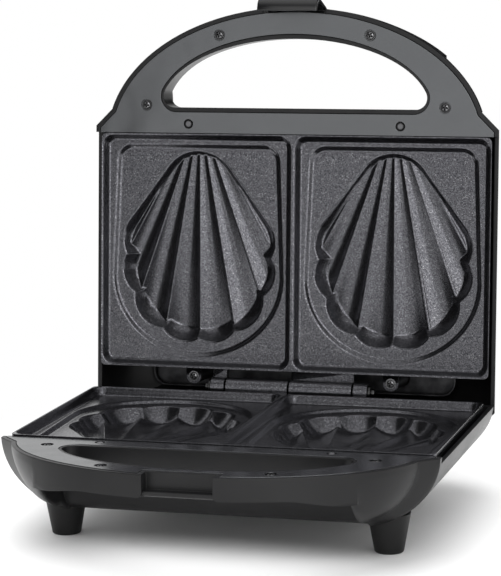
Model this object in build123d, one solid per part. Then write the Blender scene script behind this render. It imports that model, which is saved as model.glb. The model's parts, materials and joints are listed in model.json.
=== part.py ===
from build123d import *
from math import acos, atan2, cos, hypot, radians, sin, sqrt, tan
import os

# A hinged sandwich maker, stored open, in millimetres. Each half is drawn as the lower one:
# X across, Y towards the back, Z up, with the hinge axis along X through the origin and the
# parting plane at Z = 0. "Reach" is a distance in front of the hinge axis and "depth" a
# distance below the parting plane. The lid's pieces are then turned over and swung open.

# Angles, in degrees
lid_open_angle = 94.5
latch_rest_angle = 17.0

# Cooking plates
plate_width = 225.0
plate_front = 143.0
plate_rear = 10.2
plate_corner = 3.0
plate_side_draft = 3.0
plate_gap = 0.4
plate_floor = 2.6
divider_width = 2.6
rim_width = 0.9
cavity_depth = 4.8
cavity_corner = 6.5
cavity_draft = 28.0
step_depth = 2.0
step_draft = 45.0
step_top_margin = 7.7
step_side_margin = 4.8
step_front_margin = 6.2
step_round_centre = 62.0
step_back_margin = 6.0
step_corner = 9.0

# Shell-shaped pocket in each cavity. Flutes fan out from a point beyond its tip.
pocket_depth = 8.4
pocket_draft = 42.0
pocket_back_wall = 2.4
pocket_overcut = 1.0
tip_centre = 111.0
tip_radius = 22.0
scallop_cusps = [(0.0, 26.7), (20.9, 31.5), (37.9, 52.0), (42.9, 73.0)]
scallop_bulges = [4.3, 5.8, 4.2]
side_lobe = (26.7, 82.0, 17.9)
back_lobe = (0.0, 72.0, 47.5)
flute_count = 8
flute_spread = 9.6
fan_apex = 155.0
fan_apex_depth = 1.2
flute_end = 115.0
flute_end_radius = 14.9
flute_start = 14.0
flute_length = 128.0

# Shells
shell_side_ledge = 3.5
shell_depth = 38.5
shell_wall = 2.4
shell_corner_width = 46.0
shoulder_setback = 4.0
shoulder_cut = 9.8
front_wall_bend = 10.0
front_wall_lean = 20.0
base_rear = 3.3
lid_rear = 11.0
rear_edge_radius = 12.0
rear_corner = 4.5
side_rim_depth = 4.6
bow_rim_depth = 1.2

# Handle bow: thin in the middle, with deep arms that flow into the bowl's corners
bow_side_inset = 6.7
bow_centre_setback = 3.0
bow_reach = 74.0
bow_thickness = 13.0
bow_flat_half = 50.0
bow_end_thickness = 16.8
arm_width = 29.3
arm_end_lap = 3.438
arm_steps = 4
arm_overlap = 0.3

# Hand hole
hand_hole_setback = 14.7
hand_hole_arm = 31.7
hand_hole_front_wall = 17.5
hand_hole_corner = 6.5

# Handle covers, with their screws and locating pegs
cover_depth = 1.0
cover_thickness = 2.4
cover_gap = 0.3
side_screw_inset = 23.3
side_screw_setback = 2.2
front_screw_inset = 65.9
front_screw_setback = 15.6
peg_inset = 48.2
peg_setback = 5.5
peg_radius = 1.9
peg_ring = 0.8

# Screws and their bosses
screw_radius = 1.5
screw_head_radius = 2.9
screw_head_height = 1.3
screw_length = 9.0
screw_clearance = 0.2
screw_recess_gap = 0.35
screw_tip_gap = 1.0
boss_radius = 3.4

# Latch
notch_half = 18.0
notch_setback = 8.5
notch_corner_round = 2.6
notch_ledge = 10.1
notch_ledge_setback = 3.5
notch_ledge_round = 2.4
latch_side_gap = 1.1
latch_axis_setback = 4.5
latch_axis_depth = 6.7
latch_wall = 1.9
latch_tail_depth = 8.4
latch_tail_curl = 3.4
latch_tail_round = 2.6
latch_hook_gap = 0.6
latch_hook_reach = 8.8
latch_hook_wall = 1.7
latch_hook_round = 6.0
latch_barrel_radius = 2.7
latch_pin_radius = 1.2
latch_pin_grip = 2.2

# Hinge
knuckle_radius = 5.7
hinge_pin_radius = 2.4
running_gap = 0.05
knuckle_gap = 1.1
knuckle_middle = 36.9
knuckle_end = 45.3
lug_height = 4.6
pin_overhang = 3.6
pin_clip_radius = 4.4
pin_clip_width = 1.2
pin_clip_slot = 2.4
pin_clip_play = 0.3
hinge_side_room = 3.1
hinge_room = 1.9

# Screw ears on the back of the plates
ear_outset = 0.8
ear_reach = 5.5
ear_half_width = 4.4
ear_depth = 2.4
ear_thickness = 3.0

# Feet
front_foot_inset = 29.5
front_foot_setback = 11.0
rear_foot_inset = 54.0
rear_foot_reach = 19.0
foot_height = 15.5
foot_root = 5.0
foot_top_radius = 10.2
foot_bottom_radius = 7.4
foot_edge_round = 1.2
foot_peg_radius = 3.0
foot_peg_length = 5.0
foot_seat_gap = 0.1

# Heating parts
heater_radius = 3.3
heater_inset = 30.5
heater_setback = 37.0
heater_bend = 22.0
heater_end_reach = 22.0
terminal_radius = 1.3
terminal_length = 7.0
touch_gap = 0.1
shield_thickness = 0.8
shield_inset = 27.0
shield_setback = 26.0
shield_corner = 8.0
shield_lip = 4.0
shield_rise = 4.2
base_shield_back = 26.0
lid_shield_back = -3.5
shield_screw_inset = 17.0
shield_screw_back = 46.0
shield_screw_setback = 13.0
shield_screw_length = 4.5
shield_post_gap = 0.4
post_radius = 4.2
front_post_setback = 0.4
thermostat_radius = 7.0
thermostat_height = 7.0
thermostat_step = 1.5
thermostat_waist = 1.0
thermostat_setback = 21.0
tab_inner = 2.2
tab_width = 2.8
tab_thickness = 0.8
tab_height = 6.0
fuse_radius = 2.1
fuse_length = 10.0
fuse_pin_radius = 0.5
fuse_pin_length = 2.0

# Supply parts in the back of the base
inlet_inset = 74.0
inlet_depth = 20.5
inlet_bore = 3.6
inlet_wall = 2.0
inlet_flange = 2.0
inlet_flange_width = 2.4
inlet_length = 9.0
terminal_block_spacing = 40.0
terminal_block_reach = 17.0
terminal_block_width = 27.0
terminal_block_length = 8.0
terminal_block_height = 8.0
terminal_bores = 3
terminal_bore_radius = 1.6
clamp_reach = 15.0
clamp_width = 20.0
clamp_length = 6.5
clamp_height = 3.0
clamp_screw_spread = 7.0
clamp_seat = 24.0

# Lamps in the lid
lamp_side = 10.0
lamp_reach = 126.0
lamp_radius = 2.4
lamp_length = 9.0
lens_wall = 0.9
lens_length = 8.0
lens_proud = 0.7
lens_face = 1.6
lens_shield_gap = 1.0

# Widths that follow from the sizes above
shell_half_width = plate_width / 2 + shell_side_ledge
shell_corner_start = shell_half_width - shell_corner_width
cavity_middle = (plate_width / 2 - rim_width + divider_width / 2) / 2
cavity_half = (plate_width / 2 - rim_width - divider_width / 2) / 2
step_top_half = cavity_half - step_top_margin
step_wide_half = cavity_half - step_side_margin
bow_half_width = shell_half_width - bow_side_inset
arm_inner_half = bow_half_width - arm_width
hand_hole_half = bow_half_width - hand_hole_arm
hinge_notch_half = knuckle_end + pin_overhang + hinge_side_room
latch_half = notch_half - latch_side_gap
ear_side = cavity_middle + ear_outset
heater_half_span = plate_width / 2 - heater_inset
shield_half_width = shell_half_width - shield_inset
inlet_side = inlet_inset - shell_half_width
terminal_block_side = inlet_side + terminal_block_spacing

# Reaches that follow
cover_back_reach = plate_front + cover_gap
shoulder_start = plate_front + shoulder_setback
shoulder_front = shoulder_start + shoulder_cut
bow_centre = plate_front - bow_centre_setback
bow_front = bow_centre + bow_reach
arm_end_share = (arm_inner_half + arm_end_lap) / bow_half_width
arm_length = bow_centre + bow_reach * sqrt(1 - arm_end_share * arm_end_share) - shoulder_front
hand_hole_back = plate_front + hand_hole_setback
hand_hole_reach = bow_front - hand_hole_front_wall - hand_hole_back
notch_floor = bow_front - notch_setback
notch_ledge_front = bow_front - notch_ledge_setback
latch_axis_reach = bow_front - latch_axis_setback
heater_front = plate_front - heater_setback
shield_front = plate_front - shield_setback
thermostat_reach = plate_front - thermostat_setback

# Depths that follow
rim_depth = plate_gap / 2
cavity_floor = rim_depth + cavity_depth
plate_back = cavity_floor + plate_floor
step_floor = cavity_floor + step_depth
pocket_floor = step_floor + pocket_depth
pocket_back = pocket_floor + pocket_back_wall
heater_depth = pocket_back + touch_gap + heater_radius
floor_depth = shell_depth - shell_wall
shield_depth = floor_depth - shield_rise - shield_thickness
cover_back_depth = cover_depth + cover_thickness
cover_seat = cover_depth + screw_head_height
ear_floor = ear_depth + ear_thickness
hinge_notch_depth = knuckle_radius + hinge_room
latch_hook_height = bow_thickness + latch_hook_gap + latch_hook_wall

# Room for cuts to run past the faces that they open
over = 2.0
far = 2 * shell_half_width

# Where screws, pegs and feet stand in one half, as x and reach
cover_screw_spots = [
    (bow_half_width - side_screw_inset, shoulder_front + side_screw_setback),
    (bow_half_width - front_screw_inset, bow_front - front_screw_setback),
]
cover_peg_spot = (bow_half_width - peg_inset, plate_front + peg_setback)
shield_screw_side = shield_half_width - shield_screw_inset
shield_screw_spots = [
    (shield_screw_side, shield_screw_back),
    (shield_screw_side, shield_front - shield_screw_setback),
]
foot_spots = {
    "front": (shell_half_width - front_foot_inset, plate_front - front_foot_setback),
    "rear": (shell_half_width - rear_foot_inset, rear_foot_reach),
}


# Small helpers


def spot(x, reach, depth=0.0):
    return Pos(x, -reach, -depth)


def block(x0, x1, reach0, reach1, depth0, depth1):
    middle = spot((x0 + x1) / 2, (reach0 + reach1) / 2, (depth0 + depth1) / 2)
    return middle * Box(abs(x1 - x0), abs(reach1 - reach0), abs(depth1 - depth0))


def upright(x, reach, radius, depth0, depth1):
    return spot(x, reach, (depth0 + depth1) / 2) * Cylinder(radius, abs(depth1 - depth0))


def crosswise(radius, x0, x1, reach=0.0, depth=0.0):
    return spot((x0 + x1) / 2, reach, depth) * Rot(0, 90, 0) * Cylinder(radius, abs(x1 - x0))


def both_sides(spots):
    return [(side * x, reach) for x, reach in spots for side in (-1, 1)]


def prism(sketch, depth0, depth1, taper=0.0):
    """A plan outline at depth0, carried down to depth1."""
    return extrude(Pos(0, 0, -depth0) * sketch, -(depth1 - depth0), taper=taper)


def frustum(outline, depth0, depth1, draft):
    """Walls that lean in by the draft angle; outline(inset) draws the plan."""
    shrink = (depth1 - depth0) * tan(radians(draft))
    top = Pos(0, 0, -depth0) * outline(0)
    bottom = Pos(0, 0, -depth1) * outline(shrink)
    return loft([top, bottom], ruled=True)


def union(shapes):
    total = shapes[0]
    for shape in shapes[1:]:
        total += shape
    return total


def group(shapes):
    """Several separate solids kept as one piece's set."""
    return Compound([solid for shape in shapes for solid in shape.solids()])


# Shells


def facing(reach):
    """A plane across the object at a reach, looking out of its front."""
    return Plane(origin=(0, -reach, 0), x_dir=(1, 0, 0), z_dir=(0, -1, 0))


def hull_section(half, low, start=shell_corner_start):
    """Front view of the hull, with elliptical lower corners and open to above the rim."""
    with BuildSketch() as section:
        with BuildLine():
            Line((-start, -low), (start, -low))
            EllipticalCenterArc((start, 0), half - start, low, -90, arc_size=90)
            Polyline((half, 0), (half, over), (-half, over), (-half, 0))
            EllipticalCenterArc((-start, 0), half - start, low, 180, arc_size=90)
        make_face()
    return section.sketch


def shoulder_low(inset):
    """Depth of the hull where its shoulders end and the bow's arms begin."""
    return shell_depth - inset - shoulder_cut / 2


def back_view(inset, rear):
    """Side view behind the front wall, with a rounded lower back edge."""
    low = shell_depth - inset
    back = rear - inset
    turn = back - rear_edge_radius
    with BuildSketch(Plane.YZ) as side:
        with BuildLine():
            Line((back, over), (back, rear_edge_radius - low))
            CenterArc((turn, rear_edge_radius - low), rear_edge_radius, 270, 90)
            Polyline((turn, -low), (-far, -low), (-far, over), (back, over))
        make_face()
    return side.sketch


def front_view(inset):
    """Side view of the front wall between the arms, which curves under towards the feet."""
    low = shell_depth - inset
    lean = inset + front_wall_lean - shoulder_front
    drop = low - front_wall_bend
    with BuildSketch(Plane.YZ) as side:
        with BuildLine():
            Line((far, -low), (lean, -low))
            EllipticalCenterArc((lean, -front_wall_bend), front_wall_lean, drop, 180, arc_size=90)
            front = lean - front_wall_lean
            Polyline((front, -front_wall_bend), (front, over), (far, over), (far, -low))
        make_face()
    return side.sketch


def bowl(inset, rear):
    """One half's bowl and shoulders without its bow, smaller all round by the inset."""
    back = rear - inset
    half = shell_half_width - inset
    low = shell_depth - inset
    seam_reach = shoulder_start - inset * (sqrt(2) - 1)
    front = shoulder_front - inset
    narrow = hull_section(half - (front - seam_reach), shoulder_low(inset))
    tub = extrude(facing(seam_reach) * hull_section(half, low), -(back + seam_reach))
    tub += loft([facing(seam_reach) * hull_section(half, low), facing(front) * narrow], ruled=True)
    tub &= extrude(back_view(inset, rear), far, both=True)
    middle = arm_inner_half + inset
    ahead = block(-middle, middle, plate_front - front_wall_lean, far, -2 * over, shell_depth + over)
    tub -= ahead - extrude(front_view(inset), far, both=True)
    plan = Pos(0, back - far / 2) * Rectangle(2 * half, far)
    plan = fillet(plan.vertices().group_by(Axis.Y)[-1], rear_corner)
    return tub & prism(plan, -2 * over, shell_depth + over)


def bow_plan(inset):
    """Plan of the bow and its shoulders, from the plates' front edge forwards."""
    half = shell_half_width - inset
    diagonal = shell_half_width + shoulder_start - inset * sqrt(2)
    inner = diagonal - shoulder_front
    edge = [(half, -plate_front), (half, half - diagonal), (inner, -shoulder_front)]
    outline = make_face(Polyline(*[(-x, y) for x, y in edge], *reversed(edge), close=True))
    arch = Pos(0, -bow_centre) * Ellipse(bow_half_width - inset, bow_reach - inset)
    ahead = Pos(0, -shoulder_start - bow_reach) * Rectangle(far, 2 * bow_reach)
    return outline + (arch & ahead)


def arch_half(reach, inset):
    """Half the bow's width at a reach."""
    along = (reach - bow_centre) / (bow_reach - inset)
    return (bow_half_width - inset) * sqrt(1 - along * along)


def bow_middle(inset):
    """The thin part of the bow, whose underside drops a little towards the arms."""
    low = bow_thickness - inset
    end_low = bow_end_thickness - inset
    inner = arm_inner_half + inset
    end = arch_half(shoulder_front + arm_length - inset, inset)
    with BuildSketch() as view:
        with BuildLine():
            Line((-bow_flat_half, -low), (bow_flat_half, -low))
            for side in (-1, 1):
                last = (side * inner, -end_low)
                Spline((side * bow_flat_half, -low), last, tangents=[(side, 0), (side, 0)])
                Line(last, (side * end, -end_low))
            Polyline((-end, -end_low), (-end, over), (end, over), (end, -end_low))
        make_face()
    return prism(bow_plan(inset), -over, shell_depth) & extrude(facing(plate_front) * view.sketch, far)


def bow_arms(inset):
    """The bow's deep ends: the hull's section carried on, rounding up into the thin part."""
    end_low = bow_end_thickness - inset
    rise = shoulder_low(inset) - end_low
    sections = []
    for step in range(arm_steps + 1):
        share = step / arm_steps
        reach = shoulder_front - inset + arm_length * share
        half = arch_half(reach, inset) + arm_overlap
        start = shell_corner_start + (arm_inner_half - shell_corner_start) * share
        low = end_low + rise * (1 - share * share)
        sections.append(facing(reach) * hull_section(half, low, start))
    middle = arm_inner_half + inset
    arms = loft(sections) - block(-middle, middle, plate_front, far, -2 * over, shell_depth + over)
    return arms & prism(bow_plan(inset), -over, shell_depth)


def bow(inset):
    return bow_middle(inset) + bow_arms(inset)


def hand_hole(offset):
    """Plan of the D-shaped hand hole, larger all round by the offset."""
    back = offset - hand_hole_back
    half = hand_hole_half + offset
    reach = hand_hole_reach + offset
    with BuildSketch() as hole:
        with BuildLine():
            Line((-half, back), (half, back))
            EllipticalCenterArc((0, back), half, reach + offset, 180, arc_size=180)
        make_face()
        fillet(hole.vertices(), hand_hole_corner + offset)
    return hole.sketch


def latch_notch(grow, bottom):
    """The notch in the bow that the latch works in, down to a depth."""
    half = notch_half + grow
    return block(-half, half, notch_floor - grow, far, -over, bottom + grow)


def notch_corner(side):
    """What rounding takes off the bow's lower corner beside the notch."""
    outer = side * (notch_half + notch_corner_round)
    top = bow_thickness - notch_corner_round
    corner = block(side * notch_half, outer, notch_ledge_front, far, top, shell_depth)
    return corner - along_y(notch_corner_round, -notch_ledge_front, -far, outer, top)


def latch_ledge():
    """Bar along the foot of the base's notch, which the latch hooks under."""
    bar = block(-notch_half, notch_half, notch_floor, notch_ledge_front, notch_ledge, bow_thickness)
    return fillet(bar.edges().filter_by(Axis.X).group_by(Axis.Y)[0].sort_by(Axis.Z)[0], notch_ledge_round)


def shell(rear, posts, notch_bottom):
    """A hollow half: bowl, bow, hand hole, latch notch and the posts inside."""
    outer = bowl(0, rear) + bow(0)
    sleeve = prism(hand_hole(shell_wall), -over, shell_depth)
    inner = bowl(shell_wall, rear) + (bow(shell_wall) - sleeve - latch_notch(shell_wall, notch_bottom))
    body = outer - inner
    body += union(posts) & outer
    body -= prism(hand_hole(0), -over, shell_depth)
    body -= latch_notch(0, shell_depth) + notch_corner(-1) + notch_corner(1)
    body -= block(-far, far, -far, cover_back_reach, -over, side_rim_depth)
    body -= block(-far, far, cover_back_reach, far, -over, bow_rim_depth)
    return body - block(-hinge_notch_half, hinge_notch_half, -far, 0, 0, hinge_notch_depth)


# Cooking plate casting, the same one in both halves


def cavity_plan(side):
    """Outline of one cavity's mouth; its inset form is smaller all round."""
    back = plate_rear + rim_width
    front = plate_front - rim_width

    def outline(inset):
        width = 2 * (cavity_half - inset)
        length = front - back - 2 * inset
        place = Pos(side * cavity_middle, -(front + back) / 2)
        return place * RectangleRounded(width, length, cavity_corner - inset)

    return outline


def step_plan(side):
    """Outline of the second step down: straight across the front, round at the back."""

    def outline(inset):
        front = plate_front - step_front_margin - inset
        top = step_top_half - inset
        wide = step_wide_half - inset
        round_length = step_round_centre - plate_rear - step_back_margin - inset
        middle = (0, -step_round_centre)
        with BuildSketch() as plan:
            with BuildLine():
                Polyline((-wide, middle[1]), (-top, -front), (top, -front), (wide, middle[1]))
                EllipticalCenterArc(middle, wide, round_length, 0, arc_size=180)
            make_face()
            corners = plan.vertices().group_by(Axis.Y)[0]
            fillet(corners, step_corner - inset)
        return Pos(side * cavity_middle, 0) * plan.sketch

    return outline


def circle_through(first, last, bulge):
    """Centre and radius of the arc that bulges out between two points, as x and reach."""
    across = last[0] - first[0]
    along = last[1] - first[1]
    chord = hypot(across, along)
    radius = (chord * chord / 4 + bulge * bulge) / (2 * bulge)
    away = (radius - bulge) / chord
    middle = ((first[0] + last[0]) / 2, (first[1] + last[1]) / 2)
    return middle[0] - along * away, middle[1] + across * away, radius


def teardrop(lobe, grow=0.0):
    """Plan of the tip circle and a larger lobe, joined by their outer tangents."""

    def outline(inset):
        tip_r = tip_radius + grow - inset
        lobe_r = lobe[2] + grow - inset
        across = lobe[0]
        along = tip_centre - lobe[1]
        heading = atan2(along, across)
        lean = acos((tip_r - lobe_r) / hypot(across, along))

        def on_tip(turn):
            return tip_r * cos(heading + turn), tip_r * sin(heading + turn) - tip_centre

        def on_lobe(turn):
            return lobe[0] + lobe_r * cos(heading + turn), lobe_r * sin(heading + turn) - lobe[1]

        back = (-tip_r * cos(heading), -tip_r * sin(heading) - tip_centre)
        with BuildSketch() as plan:
            with BuildLine():
                Line(on_tip(lean), on_lobe(lean))
                ThreePointArc(on_lobe(lean), on_lobe(0), on_lobe(-lean))
                Line(on_lobe(-lean), on_tip(-lean))
                ThreePointArc(on_tip(-lean), back, on_tip(lean))
            make_face()
        return plan.sketch

    return outline


def shell_pocket():
    """The fluted pocket: leaning walls round a scalloped end, floored by a fan of cones."""
    ends = zip(scallop_cusps, scallop_cusps[1:], scallop_bulges)
    lobes = [circle_through(*end) for end in ends] + [side_lobe]
    deep = pocket_depth + pocket_overcut
    walls = []
    for x, reach, radius in lobes:
        for side in (-1, 1):
            walls.append(frustum(teardrop((side * x, reach, radius)), 0, deep, pocket_draft))
    fan = []
    slope = flute_end_radius / flute_end
    rise = (fan_apex_depth + flute_end_radius - pocket_depth) / flute_end
    for flute in range(flute_count):
        turn = radians((flute - (flute_count - 1) / 2) * flute_spread)
        heading = Vector(sin(turn), cos(turn), rise).normalized()
        start = Vector(0, -fan_apex, -fan_apex_depth) + heading * flute_start
        along = Plane(origin=start, z_dir=heading) * Pos(0, 0, flute_length / 2)
        last = flute_start + flute_length
        fan.append(along * Cone(slope * flute_start, slope * last, flute_length))
    return spot(0, 0, step_floor) * (union(walls) & union(fan))


def ear(side):
    """Lug on the plate's back edge, with a round end and a hole for its screw."""
    depth = ear_depth + ear_thickness
    lug = block(
        side * ear_side - ear_half_width,
        side * ear_side + ear_half_width,
        ear_reach,
        plate_rear + rim_width,
        ear_depth,
        depth,
    )
    return lug + upright(side * ear_side, ear_reach, ear_half_width, ear_depth, depth)


def plate():
    """The casting, with knuckles placed so that two of them mesh when one is turned over."""
    length = plate_front - plate_rear
    place = Pos(0, -(plate_front + plate_rear) / 2)
    slab = prism(place * RectangleRounded(plate_width, length, plate_corner), rim_depth, plate_back,
        plate_side_draft)
    pocket = shell_pocket()
    solids = [slab]
    cuts = []
    for side in (-1, 1):
        middle = Pos(side * cavity_middle, 0)
        mouth = step_plan(side)
        solids.append(prism(mouth(-1), cavity_floor, step_floor + plate_floor))
        back = frustum(teardrop(back_lobe, pocket_back_wall), step_floor, pocket_back, pocket_draft)
        solids.append(middle * back)
        solids.append(ear(side))
        cuts.append(frustum(cavity_plan(side), rim_depth, cavity_floor, cavity_draft))
        cuts.append(frustum(mouth, cavity_floor, step_floor, step_draft))
        cuts.append(middle * pocket)
        cuts.append(upright(side * ear_side, ear_reach, screw_radius + screw_clearance, 0, plate_back))
    half_gap = knuckle_gap / 2
    for x0, x1 in ((-knuckle_middle, 0), (knuckle_middle, knuckle_end + half_gap)):
        x0 += half_gap
        x1 -= half_gap
        solids.append(crosswise(knuckle_radius, x0, x1))
        lug_top = knuckle_radius - lug_height
        solids.append(block(x0, x1, 0, plate_rear + rim_width, lug_top, knuckle_radius))
    cuts.append(crosswise(hinge_pin_radius + running_gap, -plate_width / 2, plate_width / 2))
    return union(solids) - union(cuts)


# Screws


def screw(x, reach, depth, length):
    """A pan-head screw with its head standing on a face at the given depth."""
    head = upright(x, reach, screw_head_radius, depth - screw_head_height, depth)
    return head + upright(x, reach, screw_radius, depth, depth + length)


def screw_set(spots, depth, length):
    return group([screw(x, reach, depth, length) for x, reach in spots])


def screw_hole(x, reach, depth, length):
    bottom = depth + length + screw_tip_gap
    return upright(x, reach, screw_radius + running_gap, depth - over, bottom)


# Pieces of both halves


ear_spots = both_sides([(ear_side, ear_reach)])
cover_spots = both_sides(cover_screw_spots)
peg_spots = both_sides([cover_peg_spot])
shield_spots = both_sides(shield_screw_spots)


def half_shell(rear, notch_bottom, more_posts=()):
    posts = [*more_posts]
    for x, reach in cover_spots:
        posts.append(upright(x, reach, boss_radius, cover_back_depth, shell_depth))
    for x, reach in peg_spots:
        posts.append(upright(x, reach, boss_radius, cover_back_depth, shell_depth))
        posts.append(upright(x, reach, peg_radius, cover_depth, shell_depth))
    for x, reach in ear_spots:
        posts.append(upright(x, reach, post_radius, ear_floor, shell_depth))
    for x, reach in both_sides([(ear_side, plate_front - front_post_setback)]):
        posts.append(upright(x, reach, post_radius, plate_back, shell_depth))
    for x, reach in shield_spots:
        posts.append(upright(x, reach, post_radius, shield_depth + shield_thickness, shell_depth))
    body = shell(rear, posts, notch_bottom)
    for x, reach in ear_spots:
        body -= screw_hole(x, reach, ear_floor, screw_length - ear_thickness)
    for x, reach in cover_spots:
        body -= screw_hole(x, reach, cover_back_depth, screw_length + cover_seat - cover_back_depth)
    for x, reach in shield_spots:
        body -= screw_hole(x, reach, shield_depth + shield_thickness, shield_screw_length)
    return body


def handle_cover():
    """Flat inner plate of the bow, let into the shell's rim."""
    inset = shell_wall + cover_gap
    plan = bow_plan(inset) - hand_hole(inset)
    plate_side = Pos(0, far / 2 - cover_back_reach) * Rectangle(2 * far, far)
    cover = prism(plan - plate_side, cover_depth, cover_back_depth)
    for x, reach in cover_spots:
        cover -= upright(x, reach, screw_head_radius + screw_recess_gap, 0, cover_seat)
        cover -= upright(x, reach, screw_radius + screw_clearance, 0, cover_back_depth + over)
    for x, reach in peg_spots:
        cover -= upright(x, reach, peg_radius + peg_ring, 0, cover_back_depth + over)
    return cover


def heater():
    """Tubular element: a U under both pockets, with a terminal pin at each end."""
    route = [
        (-heater_half_span, heater_end_reach),
        (-heater_half_span, heater_front),
        (heater_half_span, heater_front),
        (heater_half_span, heater_end_reach),
    ]
    path = FilletPolyline(*[(x, -reach, -heater_depth) for x, reach in route], radius=heater_bend)
    tube = sweep(Plane(origin=path @ 0, z_dir=path % 0) * Circle(heater_radius), path=path)
    for side in (-1, 1):
        pin = Pos(side * heater_half_span, terminal_length / 2 - heater_end_reach, -heater_depth)
        tube += pin * Rot(90, 0, 0) * Cylinder(terminal_radius, terminal_length)
    return tube


def heat_shield(back):
    """Sheet tray behind the element, with a turned-up lip all round."""
    length = shield_front - back
    place = Pos(0, -(shield_front + back) / 2)

    def sheet(inset):
        return place * RectangleRounded(
            2 * (shield_half_width - inset), length - 2 * inset, shield_corner - inset
        )

    bottom = shield_depth + shield_thickness
    tray = prism(sheet(0), shield_depth - shield_lip, bottom)
    tray -= prism(sheet(shield_thickness), shield_depth - shield_lip - over, shield_depth)
    for x, reach in shield_spots:
        tray -= upright(x, reach, screw_radius + screw_clearance, 0, shell_depth)
    for x, reach in ear_spots:
        tray -= upright(x, reach, post_radius + shield_post_gap, 0, shell_depth)
    return tray


# Hinge


def hinge_pin():
    half = knuckle_end + pin_overhang
    return crosswise(hinge_pin_radius, -half, half)


def pin_clips():
    """A slotted ring on each end of the pin."""
    clips = []
    for side in (-1, 1):
        inner = side * (knuckle_end + pin_clip_play)
        outer = inner + side * pin_clip_width
        ring = crosswise(pin_clip_radius, inner, outer)
        ring -= crosswise(hinge_pin_radius + running_gap, inner - side, outer + side)
        half = pin_clip_slot / 2
        clips.append(ring - block(inner - side, outer + side, -half, half, 0, pin_clip_radius + over))
    return group(clips)


# Latch


def latch_clip():
    """Arched clip on a barrel, drawn latched, with its hook under the other half's bow."""
    outer = bow_front
    inner = outer - latch_wall
    hook_end = outer - latch_hook_reach
    tail_end = outer - latch_tail_curl
    tail = latch_tail_depth
    hook = latch_hook_height
    with BuildSketch(Plane.YZ) as profile:
        with BuildLine():
            Polyline(
                (-inner, latch_wall - tail),
                (-inner, hook - latch_hook_wall),
                (-hook_end, hook - latch_hook_wall),
                (-hook_end, hook),
                (-outer, hook),
                (-outer, -tail),
                (-tail_end, -tail),
                (-tail_end, latch_wall - tail),
                close=True,
            )
        make_face()
        corners = profile.vertices()
        fillet(corners.sort_by_distance((-outer, hook))[0], latch_hook_round)
        fillet(profile.vertices().sort_by_distance((-outer, -tail))[0], latch_tail_round)
        bend = (-inner, hook - latch_hook_wall)
        fillet(profile.vertices().sort_by_distance(bend)[0], latch_hook_round - latch_wall)
    clip = extrude(profile.sketch, latch_half, both=True)
    clip += crosswise(latch_barrel_radius, -latch_half, latch_half, latch_axis_reach, latch_axis_depth)
    web = latch_barrel_radius / 2
    axis = latch_axis_depth
    clip += block(-latch_half, latch_half, latch_axis_reach, inner + latch_wall / 2, axis - web, axis + web)
    bore = latch_pin_radius + running_gap
    return clip - crosswise(bore, -far, far, latch_axis_reach, latch_axis_depth)


def latch_pin(grow=0.0):
    half = notch_half + latch_pin_grip + grow
    return crosswise(latch_pin_radius + grow, -half, half, latch_axis_reach, latch_axis_depth)


# Feet and supply parts of the base


def foot(x, reach):
    """Tapered foot whose top follows the shell, with a peg that goes up into it."""
    bottom = shell_depth + foot_height
    top = shell_depth - foot_root
    slope = (foot_top_radius - foot_bottom_radius) / foot_height
    top_radius = foot_bottom_radius + slope * (bottom - top)
    cone = spot(x, reach, (top + bottom) / 2) * Cone(foot_bottom_radius, top_radius, bottom - top)
    cone = fillet(cone.edges().group_by(Axis.Z)[0], foot_edge_round)
    return cone - bowl(-foot_seat_gap, base_rear) + foot_peg(x, reach, 0, floor_depth - foot_peg_length)


def foot_peg(x, reach, grow, top):
    return upright(x, reach, foot_peg_radius + grow, top, shell_depth + foot_seat_gap + over)


clamp_spots = [(inlet_side + side * clamp_screw_spread, clamp_reach) for side in (-1, 1)]


def along_y(radius, back, front, x, depth):
    middle = Pos(x, (back + front) / 2, -depth)
    return middle * Rot(90, 0, 0) * Cylinder(radius, abs(back - front))


def inlet_gland():
    """Bush that lines the cord hole in the base's back wall."""
    outside = base_rear + running_gap + inlet_flange
    sleeve_radius = inlet_bore + inlet_wall
    gland = along_y(sleeve_radius, outside, outside - inlet_length, inlet_side, inlet_depth)
    flange_radius = sleeve_radius + inlet_flange_width
    gland += along_y(flange_radius, outside, outside - inlet_flange, inlet_side, inlet_depth)
    return gland - along_y(inlet_bore, far, -far, inlet_side, inlet_depth)


def cord_clamp():
    """Bar across two bosses, over the way that the cord comes in."""
    half = clamp_width / 2
    bar = block(
        inlet_side - half,
        inlet_side + half,
        clamp_reach - clamp_length / 2,
        clamp_reach + clamp_length / 2,
        clamp_seat,
        clamp_seat + clamp_height,
    )
    for x, reach in clamp_spots:
        bar -= upright(x, reach, screw_radius + screw_clearance, 0, shell_depth)
    return bar


def terminal_block():
    """Insulated block on the base's floor, with a row of bores for the leads."""
    half = terminal_block_width / 2
    front = terminal_block_reach + terminal_block_length / 2
    back = terminal_block_reach - terminal_block_length / 2
    x = terminal_block_side
    top = floor_depth - terminal_block_height
    body = block(x - half, x + half, back, front, top, floor_depth)
    pitch = terminal_block_width / terminal_bores
    for bore in range(terminal_bores):
        across = x + (bore - (terminal_bores - 1) / 2) * pitch
        body -= along_y(terminal_bore_radius, far, -far, across, floor_depth - terminal_block_height / 2)
    return body


def thermostat():
    """Disc thermostat against the back of the plate, with two terminal tabs."""
    top = plate_back + touch_gap
    can = upright(0, thermostat_reach, thermostat_radius, top, top + thermostat_step)
    waist = top + thermostat_height
    can += upright(0, thermostat_reach, thermostat_radius - thermostat_waist, top, waist)
    front = thermostat_reach + tab_thickness / 2
    back = thermostat_reach - tab_thickness / 2
    for side in (-1, 1):
        outside = side * (tab_inner + tab_width)
        can += block(side * tab_inner, outside, back, front, waist - over, waist + tab_height)
    return can


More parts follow.
